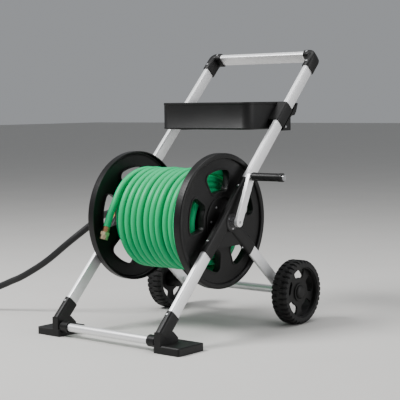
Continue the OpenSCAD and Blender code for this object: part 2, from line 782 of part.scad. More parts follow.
module drum() color(black) place() about_reel() difference() {
    r = drum_d / 2;
    half = web_in - dish_t - touch;
    end_t = 5;
    union() {
        translate([0, 0, -half]) ring(r, r - drum_wall, 2 * half);
        for (z = [-half, half - end_t]) translate([0, 0, z]) ring(r - 1, screw_ring - 9, end_t);
    }
    for (m = [0, 1]) mirror([0, 0, m]) at_flange_screws() screw_hole();
    translate([0, 0, -elbow_z]) rotate([-90, 0, 0]) cylinder(r = pipe_r + fit, h = r + 1);
}

module flange_screws() color(steel) for (side = [-1, 1]) on_side(side) about_reel()
    at_flange_screws() screw();

// Hollow elbow that leads the water from the inlet to the hose's inner end
elbow_z = inlet_in - 40;
pipe_r = 9;
module water_elbow() color(black) on_side(-1) about_reel() difference() {
    top = web_in - hub_boss_l - touch;
    union() {
        translate([0, 0, top - 4]) cylinder(r = hub_boss_r - 2, h = 4);
        translate([0, 0, elbow_z - pipe_r]) cylinder(r = pipe_r, h = top - elbow_z + pipe_r);
        translate([0, 0, elbow_z]) rotate([-90, 0, 0]) cylinder(r = pipe_r, h = drum_d / 2 - touch);
    }
    translate([0, 0, elbow_z]) cylinder(r = pipe_r - 2.5, h = top);
    translate([0, 0, elbow_z]) rotate([-90, 0, 0]) cylinder(r = pipe_r - 2.5, h = drum_d / 2 + eps);
}

module crank_shaft() color(steel) place() about_reel(shaft_in) difference() {
    long = arm_in + shaft_seat - shaft_in;
    cylinder(r = shaft_d / 2, h = long);
    translate([0, 0, long - 12]) cylinder(r = screw_shank + fit, h = 13);
}

module crank_boss() color(steel) place() about_reel(hub_face + slack)
    ring(boss_r, shaft_d / 2 + fit, arm_in - touch - hub_face - slack);

module crank_arm() color(alu) place() about_reel(arm_in) difference() {
    linear_extrude(arm_t) {
        circle(boss_r);
        translate(arm_end) circle(arm_w / 2);
        rotate(crank_angle) translate([0, -arm_w / 2]) square([crank_r, arm_w]);
    }
    translate([0, 0, -eps]) cylinder(r = shaft_d / 2 + fit, h = shaft_seat + 2 * eps);
    cylinder(r = screw_shank + fit, h = arm_t + 1);
    translate([arm_end.x, arm_end.y, -eps]) cylinder(r = pin_r + run, h = arm_t + 1);
}

module crank_screw() color(steel) place() about_reel(arm_out + touch) screw(12);

module grip() color(black) place() about_reel(grip_in) translate(arm_end) rotate_extrude() {
    r = grip_d / 2;
    polygon([
        [pin_r + run, 0], [r - 1.5, 0], [r + 0.4, 2], [r + 0.4, 8], [r - 0.5, 18],
        [r - 0.5, grip_l - 18], [r + 0.4, grip_l - 8], [r + 0.4, grip_l - 2], [r - 1.5, grip_l],
        [pin_r + run, grip_l]
    ]);
}

module grip_bolt() color(steel) place() about_reel(arm_in) translate(arm_end) {
    shoulder = arm_t + touch;
    head = grip_in + grip_l + slack - arm_in;
    cylinder(r = pin_r, h = head + 1);
    translate([0, 0, shoulder]) cylinder(r = bolt_head_r - 0.5, h = grip_in - slack - arm_out - touch);
    translate([0, 0, head]) cylinder(r = bolt_head_r, h = bolt_head_t);
}

module shaft_bushing() color(steel) place() difference() {
    union() {
        about_reel(side_x - grip_t - hub_in) cylinder(r = bush_r, h = hub_face - side_x + grip_t + hub_in - 1);
        about_reel(hub_face - bush_flange_t + touch) cylinder(r = bush_flange_r, h = bush_flange_t - touch);
    }
    about_reel(side_x - grip_t - hub_in - eps) cylinder(r = shaft_d / 2 + run, h = 3 * grip_t);
    at_bushing_screws() screw_hole();
}

module at_bushing_screws() about_reel(hub_face + touch) for (i = [0:2]) rotate([0, 0, 30 + 120 * i])
    translate([bush_screw_ring, 0, 0]) children();
module bushing_screws() color(steel) place() at_bushing_screws() {
    cylinder(r = 2.8, h = 1.6);
    translate([0, 0, -screw_l]) cylinder(r = screw_shank, h = screw_l);
}

// ---- Water inlet and lead-in hose ----

module water_inlet() color(black) on_side(-1) difference() {
    union() {
        about_reel(inlet_in) cylinder(r = spigot_r, h = inlet_hex - inlet_in);
        about_reel(inlet_hex) cylinder(r = 19, h = hex_t, $fn = 6);
        about_reel(inlet_hex) cylinder(r = thread_r, h = hex_t + thread_l);
    }
    about_reel(inlet_in - eps) cylinder(r = 8, h = leader_x);
    for (x = seal_x) about_reel(x) ring(spigot_r + 1, seal_floor, seal_w);
}

seal_x = [inlet_in + 6, inlet_in + 14];
seal_w = 3.4;
seal_floor = spigot_r - 2.6;
module inlet_seals() color([0.05, 0.05, 0.05]) on_side(-1) for (x = seal_x)
    about_reel(x + touch) ring(spigot_r - touch, seal_floor + touch, seal_w - 2 * touch);

// Swivel nut whose mouth end is at z = 0 and whose back plate is at the top
module swivel_nut() difference() {
    cylinder(r = nut_r, h = nut_l);
    translate([0, 0, -eps]) cylinder(r = thread_r + fit, h = nut_thread_l + 2 * eps);
    translate([0, 0, nut_thread_l])
        cylinder(r = nut_relief_r, h = nut_l - nut_back_t - nut_thread_l);
    translate([0, 0, nut_l - 3]) cylinder(r = nut_mouth_r + run, h = 4);
    for (i = [0:11]) rotate([0, 0, 30 * i]) translate([nut_r + 0.8, 0, 2])
        cylinder(r = 1.8, h = nut_l);
}

// Hose end piece: the crimped sleeve, whose hose end is at z = 0, with the tail that the nut holds
module crimp() difference() {
    union() {
        cylinder(r = ferrule_r, h = ferrule_l);
        cylinder(r = nut_mouth_r, h = ferrule_l + slack + 3.6);
        translate([0, 0, ferrule_l + slack + 2.1]) cylinder(r = 12.5, h = 1.4);
    }
    translate([0, 0, -eps]) cylinder(r = 6.5, h = 2 * ferrule_l);
}

module leader_inlet_nut() color(brass) on_side(-1) about_reel(inlet_nut_x) swivel_nut();
module leader_inlet_ferrule() color(copper) on_side(-1) about_reel(leader_x) mirror([0, 0, 1]) crimp();

module leader_hose() color(black) {
    hose(route(leader_points, 3), leader_r, [0, 1, 0]);
    hose(route(tail_points, 2), leader_r, [0, 0, 1]);
}

module leader_coil() color(black) translate([coil_at.x, coil_at.y, leader_r])
    rotate([0, 0, coil_to + coil_trim]) rotate_extrude(angle = coil_turn - 2 * coil_trim, $fn = 60)
        translate([coil_r, 0]) circle(leader_r, $fn = 24);

module leader_end_ferrule() color(copper) aim(tail_end, tail_way) crimp();
module leader_end_nut() color(brass) aim(tail_end, tail_way)
    translate([0, 0, ferrule_l + slack + nut_l]) mirror([0, 0, 1]) swivel_nut();

// ---- Wound hose ----

module hose_winding() color(green) place() about_reel() rotate_extrude($fn = 120) polygon([
    [wind_in, wind_foot], [wind_in, wind_right], [wind_out, wind_right], [wind_out, wind_left],
    [wind_low, wind_left - 4], [wind_low, wind_step], [wind_low - layer_step, wind_step - 6],
    [wind_low - layer_step, wind_foot]
]);

module from_reel() place() translate([0, reel_y, reel_h]) children();

module hose_end() color(green) from_reel() hose(route(hose_end_points, 2), hose_d / 2, [1, 0, 0]);

module hose_ferrule() color(copper) from_reel() aim(hose_end_at, hose_end_way)
    translate([0, 0, cord_gap]) ring(hose_d / 2 + 0.4, hose_d / 2 - 4, end_ferrule_l);

module hose_coupling() color(brass) from_reel() aim(hose_end_at, hose_end_way)
    translate([0, 0, cord_gap + end_ferrule_l + touch]) difference() {
        union() {
            cylinder(r = 15.5, h = end_hex_l, $fn = 6);
            cylinder(r = thread_r, h = end_hex_l + end_thread_l);
        }
        translate([0, 0, -eps]) cylinder(r = 7, h = end_hex_l + end_thread_l + 2 * eps);
    }

// ---- The nodes ----

upper_tube(1);  // right_upper_tube
upper_tube(-1);  // left_upper_tube
lower_tube(1);  // right_lower_tube
lower_tube(-1);  // left_lower_tube
handle_tube();
elbow(1);  // right_elbow
elbow(-1);  // left_elbow
foot(1);  // right_foot
foot(-1);  // left_foot
front_cross_bar();
bar_collar(1);  // right_bar_collar
bar_collar(-1);  // left_bar_collar
bracket(1, bush_r + run);  // right_bracket
bracket(-1, spigot_r + fit);  // left_bracket
rear_leg(1);  // right_rear_leg
rear_leg(-1);  // left_rear_leg
rear_cross_tube();
axle();
axle_plug(1);  // right_axle_plug
axle_plug(-1);  // left_axle_plug
axle_spacers();
axle_nuts();
wheel_rim(1);  // right_wheel_rim
wheel_rim(-1);  // left_wheel_rim
tyre(1);  // right_tyre
tyre(-1);  // left_tyre
hub_cap(1);  // right_hub_cap
hub_cap(-1);  // left_hub_cap
storage_tray();
tray_bracket(1);  // right_tray_bracket
tray_bracket(-1);  // left_tray_bracket
tray_clip(1);  // right_tray_clip
tray_clip(-1);  // left_tray_clip
flange(1, shaft_d / 2 + fit);  // right_flange
flange(-1, spigot_r + run);  // left_flange
drum();
flange_screws();
crank_shaft();
crank_boss();
crank_arm();
crank_screw();
grip();
grip_bolt();
shaft_bushing();
bushing_screws();
water_inlet();
inlet_seals();
water_elbow();
hose_winding();
hose_end();
hose_ferrule();
hose_coupling();
leader_inlet_nut();
leader_inlet_ferrule();
leader_hose();
leader_coil();
leader_end_ferrule();
leader_end_nut();
joint_screws();
tray_screws();
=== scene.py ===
# %% [markdown]
# # A hose reel cart, dressed for its picture
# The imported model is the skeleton: it says where every tube, flange and wheel is and how it
# turns. Here each part gets the surface that the real one has. The garden hose and the
# lead-in hose are wound and laid as real lengths, the moulded plastic gets soft edges, and
# each material gets its own grain.

import json
import math

import bmesh
import bpy
import numpy as np
from mathutils import Matrix, Vector


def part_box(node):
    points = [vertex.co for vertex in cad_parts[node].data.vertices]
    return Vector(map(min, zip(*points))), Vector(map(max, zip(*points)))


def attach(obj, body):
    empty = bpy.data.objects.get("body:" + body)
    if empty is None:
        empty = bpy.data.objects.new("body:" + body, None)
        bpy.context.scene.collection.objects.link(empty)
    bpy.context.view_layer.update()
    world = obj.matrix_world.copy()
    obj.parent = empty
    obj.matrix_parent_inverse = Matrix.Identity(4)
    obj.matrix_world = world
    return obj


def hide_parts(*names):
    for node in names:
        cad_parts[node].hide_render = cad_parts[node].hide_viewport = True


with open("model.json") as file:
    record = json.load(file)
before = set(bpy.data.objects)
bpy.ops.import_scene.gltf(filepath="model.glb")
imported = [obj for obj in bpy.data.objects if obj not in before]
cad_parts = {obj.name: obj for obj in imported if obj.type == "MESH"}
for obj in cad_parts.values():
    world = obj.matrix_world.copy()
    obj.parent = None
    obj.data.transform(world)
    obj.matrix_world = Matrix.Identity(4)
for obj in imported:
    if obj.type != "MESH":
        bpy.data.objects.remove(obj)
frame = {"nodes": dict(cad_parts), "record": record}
nodes = frame["nodes"]
joints = {joint["name"]: joint for joint in frame["record"]["behaviour"]["joints"]}
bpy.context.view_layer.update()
print("parts:", len(nodes), "joints:", len(joints))

# %% [markdown]
# ## The lines that everything hangs on
# Two slanted side tubes carry the cart. It pays to name their lean, the reel axis and the
# axle once, and to read them from the frame, so that every later piece is placed by them.

# %% Driving lines, in metres
REEL = np.array(joints["reel_spin"]["pos_m"])
AXLE = np.array(joints["right_wheel_spin"]["pos_m"])
GRIP = np.array(joints["grip_spin"]["pos_m"])
MIDDLE = REEL[0]
LEAN = math.radians(44)
handle_low, handle_high = (np.array(corner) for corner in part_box("handle_tube"))
HANDLE = (handle_low + handle_high) / 2
SIDE = 0.206  # from the middle of the cart to a side tube
UP_TUBE = np.array([0, math.sin(LEAN), math.cos(LEAN)])
BEHIND_TUBE = np.array([0, math.cos(LEAN), -math.sin(LEAN)])
ACROSS = np.array([1.0, 0, 0])
HANDLE_S = HANDLE[2] / math.cos(LEAN)
TUBE_FOOT = HANDLE - HANDLE_S * UP_TUBE


def on_tube(side, s, behind=0.0, out=0.0):
    """Point at distance s along a side tube, set back behind it and outwards from it."""
    point = TUBE_FOOT + s * UP_TUBE + behind * BEHIND_TUBE
    return np.array([MIDDLE + side * (SIDE + out), point[1], point[2]])


print("reel axis", REEL, "handle", HANDLE)

# %% [markdown]
# ## The camera
# A long lens a few paces away keeps the two flanges nearly the same size, as the eye sees
# a cart that stands across a patio. It is placed first, because the hoses have to know what it sees.

# %% Camera
VIEW_AZIMUTH, VIEW_ELEVATION, VIEW_ROLL = (math.radians(a) for a in (39.53, 4.72, -0.65))
CAMERA_AT = Vector((2.3254, -2.8257, 0.6987))
LENS = 105.5

back = Vector(
    (
        math.sin(VIEW_AZIMUTH) * math.cos(VIEW_ELEVATION),
        -math.cos(VIEW_AZIMUTH) * math.cos(VIEW_ELEVATION),
        math.sin(VIEW_ELEVATION),
    )
)
level = Vector((math.cos(VIEW_AZIMUTH), math.sin(VIEW_AZIMUTH), 0))
right = level * math.cos(VIEW_ROLL) + back.cross(level) * math.sin(VIEW_ROLL)
above = back.cross(right)
camera = bpy.data.objects.new("camera", bpy.data.cameras.new("camera"))
bpy.context.scene.collection.objects.link(camera)
camera.data.sensor_width = 36
camera.data.lens = LENS
camera.matrix_world = Matrix(
    [[right[i], above[i], back[i], CAMERA_AT[i]] for i in range(3)] + [[0, 0, 0, 1]]
)
bpy.context.scene.camera = camera
print("camera", [round(c, 3) for c in CAMERA_AT])

# %% [markdown]
# ## Surfaces from arrays
# Nearly every piece here is one of two things: a closed outline carried along a path, such
# as a sleeve or a hose, or a section turned about an axis, such as a tyre. Both are grids
# of points, so one helper makes the mesh and the shapes only have to work out the points.

# %% Grids to meshes


def skin(name, grid, ends="flat", smooth=40, uv=False):
    """Mesh of a grid of rings, shape (rings, points around, 3).

    Neighbouring rings are joined by quads. ends is "flat" where the first and last ring get
    a lid, or "joined" where the last ring meets the first.
    """
    rings, around = grid.shape[:2]
    span = rings if ends == "joined" else rings - 1
    i, j = np.meshgrid(np.arange(span), np.arange(around), indexing="ij")
    a, b = i * around + j, i * around + (j + 1) % around
    c, d = ((i + 1) % rings) * around + (j + 1) % around, ((i + 1) % rings) * around + j
    quads = np.stack([a, b, c, d], -1).reshape(-1, 4)
    faces = quads.tolist()
    if ends == "flat":
        faces += [np.arange(around)[::-1].tolist(), ((rings - 1) * around + np.arange(around)).tolist()]
    mesh = bpy.data.meshes.new(name)
    mesh.from_pydata(grid.reshape(-1, 3).tolist(), [], faces)
    if uv:
        layer = mesh.uv_layers.new(name="lay")
        turn = np.stack([j, j + 1, j + 1, j], -1).reshape(-1) / around
        along = np.stack([i, i, i + 1, i + 1], -1).reshape(-1).astype(float)
        values = np.zeros((len(mesh.loops), 2))
        values[: len(turn)] = np.stack([turn, along], -1)
        layer.data.foreach_set("uv", values.reshape(-1))
    mesh.validate()
    return finish_mesh(name, mesh, smooth)


def finish_mesh(name, mesh, smooth=40):
    """Object of a mesh, with its faces turned outwards and smooth up to an angle."""
    work = bmesh.new()
    work.from_mesh(mesh)
    bmesh.ops.remove_doubles(work, verts=work.verts, dist=1e-6)
    bmesh.ops.recalc_face_normals(work, faces=work.faces)
    work.to_mesh(mesh)
    work.free()
    mesh.shade_smooth()
    mesh.set_sharp_from_angle(angle=math.radians(smooth))
    piece = bpy.data.objects.new(name, mesh)
    bpy.context.scene.collection.objects.link(piece)
    return piece


def joined(name, pieces):
    """One object of several, each of which keeps its own closed shell."""
    with bpy.context.temp_override(active_object=pieces[0], selected_editable_objects=pieces):
        bpy.ops.object.join()
    pieces[0].name = name
    return pieces[0]


def carried(name, outlines, centres, xs, ys, **kw):
    """Outlines (rings, n, 2) carried along centres (rings, 3): point = centre + u x + v y."""
    outlines = np.broadcast_to(outlines, (len(centres),) + outlines.shape[-2:])
    xs, ys = (np.broadcast_to(v, centres.shape) for v in (xs, ys))
    grid = centres[:, None] + outlines[..., :1] * xs[:, None] + outlines[..., 1:] * ys[:, None]
    return skin(name, grid, **kw)


def turned(name, section, centre, steps=96, axis=(1.0, 0, 0), **kw):
    """Closed section (n, 2) of (radius, distance along the axis), turned about the axis.

    Point = centre + radius (cos a e1 + sin a e2) + distance axis, with a over a full turn.
    """
    axis = np.array(axis) / np.linalg.norm(axis)
    e1 = np.cross(axis, [0, 0, 1.0] if abs(axis[2]) < 0.9 else [0, 1.0, 0])
    e1 /= np.linalg.norm(e1)
    e2 = np.cross(axis, e1)
    a = np.linspace(0, 2 * np.pi, steps, endpoint=False)[:, None, None]
    radius, along = section[None, :, :1], section[None, :, 1:]
    grid = centre + radius * (np.cos(a) * e1 + np.sin(a) * e2) + along * axis
    return skin(name, grid, ends="joined", **kw)


def arc(x, y, radius, start, end, steps):
    """Points of an arc about (x, y) from one angle towards another, without the last."""
    a = np.linspace(start, end, steps, endpoint=False)
    return np.stack([x + radius * np.cos(a), y + radius * np.sin(a)], -1)


def rounded(corners, radii, steps=5):
    """Closed outline with each corner replaced by an arc that is tangent to both sides."""
    p = np.array(corners, float)
    r = np.broadcast_to(np.array(radii, float), len(p))
    before, after = np.roll(p, 1, 0) - p, np.roll(p, -1, 0) - p
    before /= np.linalg.norm(before, axis=1)[:, None]
    after /= np.linalg.norm(after, axis=1)[:, None]
    half = np.arccos(np.clip((before * after).sum(1), -1, 1)) / 2
    reach = r / np.tan(half)
    middle = p + (before + after) / np.linalg.norm(before + after, axis=1)[:, None] * (
        r / np.sin(half)
    )[:, None]
    start, end = p + before * reach[:, None] - middle, p + after * reach[:, None] - middle
    t = np.linspace(0, 1, steps + 1)[None, :, None]
    swing = (np.pi - 2 * half)[:, None, None]
    safe = np.maximum(np.sin(swing), 1e-9)
    bend = (np.sin((1 - t) * swing) * start[:, None] + np.sin(t * swing) * end[:, None]) / safe
    return (middle[:, None] + bend).reshape(-1, 2)


# %% [markdown]
# ## The wound hose
# About thirty-eight metres of hose lie on the drum in five layers, and the fifth starts with
# one raised turn. A single turned shape with grooves would look like a spring. A real winding
# is one line that runs across the drum, climbs a layer and comes back, never quite evenly, so
# the line itself is worked out first and a round section is carried along it.

# %% Smooth lines and round hose
HOSE_D = 0.022


def smooth_line(points, steps):
    """Catmull-Rom line: each stretch is a cubic set by the two points before and after it."""
    p = np.array(points, float)
    padded = np.concatenate([p[:1], p, p[-1:]])
    a, b, c, d = padded[:-3, None], padded[1:-2, None], padded[2:-1, None], padded[3:, None]
    t = np.linspace(0, 1, steps, endpoint=False)[None, :, None]
    line = 0.5 * (
        2 * b + (c - a) * t + (2 * a - 5 * b + 4 * c - d) * t**2 + (3 * b - a - 3 * c + d) * t**3
    )
    return np.concatenate([line.reshape(-1, 3), p[-1:]])


def evenly(line, step):
    """The same line with points the given step apart along it."""
    run = np.concatenate([[0], np.cumsum(np.linalg.norm(np.diff(line, axis=0), axis=1))])
    marks = np.linspace(0, run[-1], max(int(run[-1] / step), 2))
    return np.stack([np.interp(marks, run, line[:, k]) for k in range(3)], -1), run[-1]


def round_hose(name, line, diameter, side, sides=16):
    """Circle carried along a line; side is any direction that the line never takes."""
    way = np.gradient(line, axis=0)
    way /= np.linalg.norm(way, axis=1)[:, None]
    x = np.cross(np.broadcast_to(side, line.shape), way)
    x /= np.linalg.norm(x, axis=1)[:, None]
    a = np.linspace(0, 2 * np.pi, sides, endpoint=False)
    outline = diameter / 2 * np.stack([np.cos(a), np.sin(a)], -1)
    return carried(name, outline, line, x, np.cross(way, x), smooth=60, uv=True)


# %% [markdown]
# ## The winding, layer by layer
# The real hose goes down against one flange, crosses the drum and climbs a layer at the other.
# A loop over the layers gives each turn its place, and the free end, which hangs beside the
# flange in a way that no rule gives, is a short list of given points.

# %% The line of the winding
LAYERS = [
    # radius of the middle line, then x where it starts and where it ends; five layers, of
    # which the fifth is two rows: its raised first turn and the rest
    (0.0731, 0.142, -0.150),
    (0.0905, -0.150, 0.142),
    (0.1080, 0.142, -0.151),
    (0.1262, -0.138, 0.142),
    (0.1535, 0.142, 0.118),
    (0.1472, 0.118, -0.117),
]
PITCH = 0.0254
STEPS_PER_TURN = 44
END_ANGLE = math.radians(75.9)
END_POINTS = [
    (-0.118, 0.036, 0.143), (-0.122, -0.006, 0.147), (-0.126, -0.050, 0.138),
    (-0.129, -0.092, 0.115), (-0.131, -0.118, 0.088), (-0.133, -0.136, 0.056),
    (-0.140, -0.150, 0.020), (-0.144, -0.159, -0.008), (-0.1455, -0.163, -0.021),
]


def winding_line():
    """Middle line of the winding: x and radius are set by the turn, smoothed over half a turn."""
    turns = [abs(b - a) / PITCH for _, a, b in LAYERS]
    counts = [int(n * STEPS_PER_TURN) for n in turns]
    x = np.concatenate([np.linspace(a, b, n) for (_, a, b), n in zip(LAYERS, counts)])
    radius = np.concatenate([np.full(n, r) for (r, _, _), n in zip(LAYERS, counts)])
    window = np.hanning(STEPS_PER_TURN // 2 + 2)
    window /= window.sum()
    pad = len(window) // 2
    x = np.convolve(np.pad(x, pad, "edge"), window, "same")[pad:-pad]
    radius = np.convolve(np.pad(radius, pad, "edge"), window, "same")[pad:-pad]
    angle = END_ANGLE - 2 * np.pi / STEPS_PER_TURN * np.arange(len(x))[::-1]
    fade = np.clip(np.arange(len(x))[::-1] / STEPS_PER_TURN, 0, 1)
    x = x + fade * (0.0016 * np.sin(angle * 0.371 + 0.6) + 0.0011 * np.sin(angle * 1.083))
    radius = radius + fade * (0.0009 * np.sin(angle * 0.713) - 0.0006 + 0.0005 * np.sin(angle * 2.3))
    return np.stack([x, radius * np.cos(angle), radius * np.sin(angle)], -1)


winding = winding_line()
free_end = smooth_line(END_POINTS, 6)
hose_line = REEL + np.concatenate([winding[:-1], free_end[1:]])
green_hose = round_hose("garden_hose", hose_line, HOSE_D, ACROSS, 14)

# %% [markdown]
# ## The lead-in hose
# A short black hose brings water from the tap to the hollow hub on the left. It leaves the
# hub level, sags to the ground and ends in a loose loop with its swivel nut lifted a little
# by its own thickness. It is stiff enough that no bend is tighter than the loop.

# %% The line of the lead-in hose
LEADER_D = 0.022
LOOP_AT, LOOP_R, LOOP_FROM, LOOP_TURN = (-1.040, -0.205), 0.131, -72.0, 240.0
LEADER_START = (-0.3112, REEL[1], REEL[2])
LEADER_POINTS = [
    LEADER_START, (-0.3332, REEL[1], REEL[2] - 0.0003), (-0.364, -0.075, 0.332),
    (-0.408, -0.095, 0.296), (-0.468, -0.128, 0.243), (-0.548, -0.157, 0.177),
    (-0.628, -0.186, 0.126), (-0.673, -0.202, 0.105), (-0.708, -0.215, 0.089),
    (-0.788, -0.247, 0.055), (-0.868, -0.279, 0.029), (-0.938, -0.308, 0.014),
]
TAIL_POINTS = [
    (-0.930, -0.128, 0.0115), (-0.906, -0.150, 0.014), (-0.884, -0.171, 0.0172),
    (-0.864, -0.191, 0.0174),
]


def loop_points(count):
    """Points of the loop on the ground, turning clockwise seen from above."""
    a = np.radians(np.linspace(LOOP_FROM, LOOP_FROM - LOOP_TURN, count))
    flat = np.full(count, LEADER_D / 2)
    return np.stack([LOOP_AT[0] + LOOP_R * np.cos(a), LOOP_AT[1] + LOOP_R * np.sin(a), flat], -1)


leader_line = smooth_line(LEADER_POINTS + loop_points(15).tolist() + TAIL_POINTS, 8)
leader_line, leader_length = evenly(leader_line, 0.006)
leader_hose = round_hose("leader_hose_tube", leader_line, LEADER_D, np.array([0, 0, 1.0]), 20)
print("lead-in hose", round(leader_length, 3), "m")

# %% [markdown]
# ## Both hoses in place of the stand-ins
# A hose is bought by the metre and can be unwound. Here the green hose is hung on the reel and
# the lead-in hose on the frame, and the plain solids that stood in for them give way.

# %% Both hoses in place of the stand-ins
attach(green_hose, "reel")
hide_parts("hose_winding", "hose_end")
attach(leader_hose, "frame")
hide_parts("leader_hose", "leader_coil")

# %% [markdown]
# ## Writing shader maths as Python
# A material is a small sum: so much colour, a little more where the noise is high. Wiring
# that by hand hides it in boxes, so a socket is wrapped in a class whose operators add the
# Math nodes, and a finish is then a few lines that read like its recipe.

# %% Sockets with operators


class Wire:
    """An output socket; arithmetic on it adds Math nodes to the same material."""

    def __init__(self, finish, socket):
        self.finish, self.socket = finish, socket

    def maths(self, operation, first, second):
        return self.finish.node("ShaderNodeMath", {"operation": operation}, {0: first, 1: second})

    def __add__(self, other):
        return self.maths("ADD", self, other)

    def __sub__(self, other):
        return self.maths("SUBTRACT", self, other)

    def __rsub__(self, other):
        return self.maths("SUBTRACT", other, self)

    def __mul__(self, other):
        return self.maths("MULTIPLY", self, other)

    __radd__ = __add__
    __rmul__ = __mul__


class Finish:
    """A material that is being mixed: its node tree and its one Principled shader."""

    def __init__(self, name, **constants):
        self.material = bpy.data.materials.new(name)
        self.material.use_nodes = True
        self.tree = self.material.node_tree
        self.shader = self.tree.nodes["Principled BSDF"]
        for socket, value in constants.items():
            self.shader.inputs[socket.replace("_", " ")].default_value = value

    def node(self, kind, settings=None, inputs=None, output=0):
        """Any node: its settings are set first, then the values or links of its sockets."""
        made = self.tree.nodes.new(kind)
        for name, value in (settings or {}).items():
            setattr(made, name, value)
        for name, value in (inputs or {}).items():
            self.feed(made.inputs[name], value)
        return Wire(self, made.outputs[output])

    def feed(self, socket, value):
        if isinstance(value, Wire):
            self.tree.links.new(value.socket, socket)
        else:
            socket.default_value = value

    def surface(self, **feeds):
        for name, value in feeds.items():
            self.feed(self.shader.inputs[name.replace("_", " ")], value)
        return self.material

    def place(self):
        return self.node("ShaderNodeTexCoord", output="Object")

    def stretched(self, scale, turn=(0, 0, 0)):
        """Object coordinates, scaled along each of the piece's own axes and then turned."""
        return self.node(
            "ShaderNodeMapping", {}, {"Vector": self.place(), "Scale": scale, "Rotation": turn}
        )

    def noise(self, scale, detail=3.0, rough=0.5, where=None):
        return self.node(
            "ShaderNodeTexNoise",
            {},
            {"Vector": where or self.place(), "Scale": scale, "Detail": detail, "Roughness": rough},
        )

    def blend(self, share, first, second):
        """Colour between two, by a share from 0 to 1."""
        return self.node(
            "ShaderNodeMix", {"data_type": "RGBA"}, {0: share, 6: first, 7: second}, output=2
        )

    def bump(self, height, distance):
        return self.node("ShaderNodeBump", {}, {"Height": height, "Distance": distance})

    def between(self, value, low, high):
        """0 below low, 1 above high and smooth between them."""
        return self.node(
            "ShaderNodeMapRange",
            {"interpolation_type": "SMOOTHSTEP"},
            {"Value": value, "From Min": low, "From Max": high},
        )


def dye(red, green, blue):
    return (red, green, blue, 1.0)


# %% [markdown]
# ## Moulded plastic
# Flanges, joints, tray and wheels are black polypropylene. It is never quite black: the
# mould leaves a fine grain that scatters the light, handled edges polish a little, and dust
# lightens the broad faces. One recipe with a few strengths serves them all.

# %% Black plastics


def black_plastic(name, tone, rough, grain, dust=0.5, scale=1500):
    """Black plastic: fine grain as bump, cloudy roughness, and a thin grey film of dust."""
    made = Finish(name, Specular_IOR_Level=0.24)
    grain_height = made.noise(scale, 2.0)
    cloud = made.noise(9, 4.0, 0.6)
    film = made.between(cloud, 0.42, 0.72) * dust
    colour = made.blend(film, dye(tone, tone * 0.98, tone), dye(tone * 1.9, tone * 1.86, tone * 1.8))
    scuffs = made.noise(60, 6.0, 0.7)
    return made.surface(
        Base_Color=colour,
        Roughness=rough + (cloud - 0.5) * 0.16 + (scuffs - 0.5) * 0.10,
        Normal=made.bump(grain_height + scuffs * 0.5, grain),
    )


body_plastic = black_plastic("joint_plastic", 0.006, 0.42, 0.00012)
reel_plastic = black_plastic("reel_plastic", 0.006, 0.38, 0.00008)
wheel_plastic = black_plastic("wheel_plastic", 0.006, 0.46, 0.00012)
tray_plastic = black_plastic("tray_plastic", 0.0055, 0.48, 0.00016, 0.4)
grip_plastic = black_plastic("grip_plastic", 0.006, 0.40, 0.00010)
bushing_plastic = black_plastic("bushing_plastic", 0.05, 0.35, 0.00006)

# %% [markdown]
# ## Tyres
# The tyres are a softer, duller black than the wheels, with a grey film of dust in clouds.

# %% Tyre


def tyre_rubber():
    """Dull black with a grey film of dust in random clouds."""
    made = Finish("tyre_rubber", Specular_IOR_Level=0.30)
    grain = made.noise(900, 3.0)
    cloud = made.noise(26, 5.0, 0.65)
    film = made.between(cloud, 0.40, 0.75) * 0.6
    return made.surface(
        Base_Color=made.blend(film, dye(0.007, 0.007, 0.0074), dye(0.022, 0.021, 0.0195)),
        Roughness=0.62 + (cloud - 0.5) * 0.2,
        Normal=made.bump(grain, 0.00015),
    )


tyre = tyre_rubber()

# %% [markdown]
# ## Metals
# The tubes are anodised aluminium: pale and satin. Extruded tubes have faint lines along their
# length; here the lines run upright on every piece, whichever way its tube leans. Steel axles
# and screws are greyer and sharper. The crimped sleeves are copper coloured, and the threaded
# ends are brass.

# %% Metals


def drawn_metal(name, colour, rough, lines, turn=(0, 0, 0), metallic=1.0):
    """Metal with fine upright lines: noise fifty times finer across Z than along it.

    The turn comes after the scale, so it only picks another part of the noise.
    """
    made = Finish(name, Metallic=metallic)
    where = made.stretched((700, 700, 14), turn)
    streak = made.noise(1.0, 3.0, 0.55, where)
    cloud = made.noise(12, 4.0, 0.6)
    darker = tuple(c * 0.86 for c in colour)
    return made.surface(
        Base_Color=made.blend(cloud * 0.5 + streak * 0.4, dye(*colour), dye(*darker)),
        Roughness=rough + (streak - 0.5) * 0.14 + (cloud - 0.5) * 0.10,
        Normal=made.bump(streak, lines),
    )


ALU = (0.90, 0.90, 0.91)
side_aluminium = drawn_metal("side_aluminium", ALU, 0.42, 0.00002, (LEAN, 0, 0), 0.72)
cross_aluminium = drawn_metal("cross_aluminium", ALU, 0.42, 0.00002, (0, math.pi / 2, 0), 0.72)
leg_aluminium = drawn_metal("leg_aluminium", ALU, 0.42, 0.00002, (-math.radians(48), 0, 0), 0.72)
arm_aluminium = drawn_metal("arm_aluminium", ALU, 0.40, 0.00002, (math.radians(25), 0, 0), 0.72)
steel = drawn_metal("bright_steel", (0.66, 0.665, 0.68), 0.26, 0.00001, (0, math.pi / 2, 0))
screw_steel = drawn_metal("screw_steel", (0.50, 0.50, 0.51), 0.34, 0.00001)
copper = drawn_metal("copper_sleeve", (0.72, 0.36, 0.19), 0.30, 0.00002)
brass = drawn_metal("brass_fitting", (0.80, 0.64, 0.40), 0.32, 0.00002)
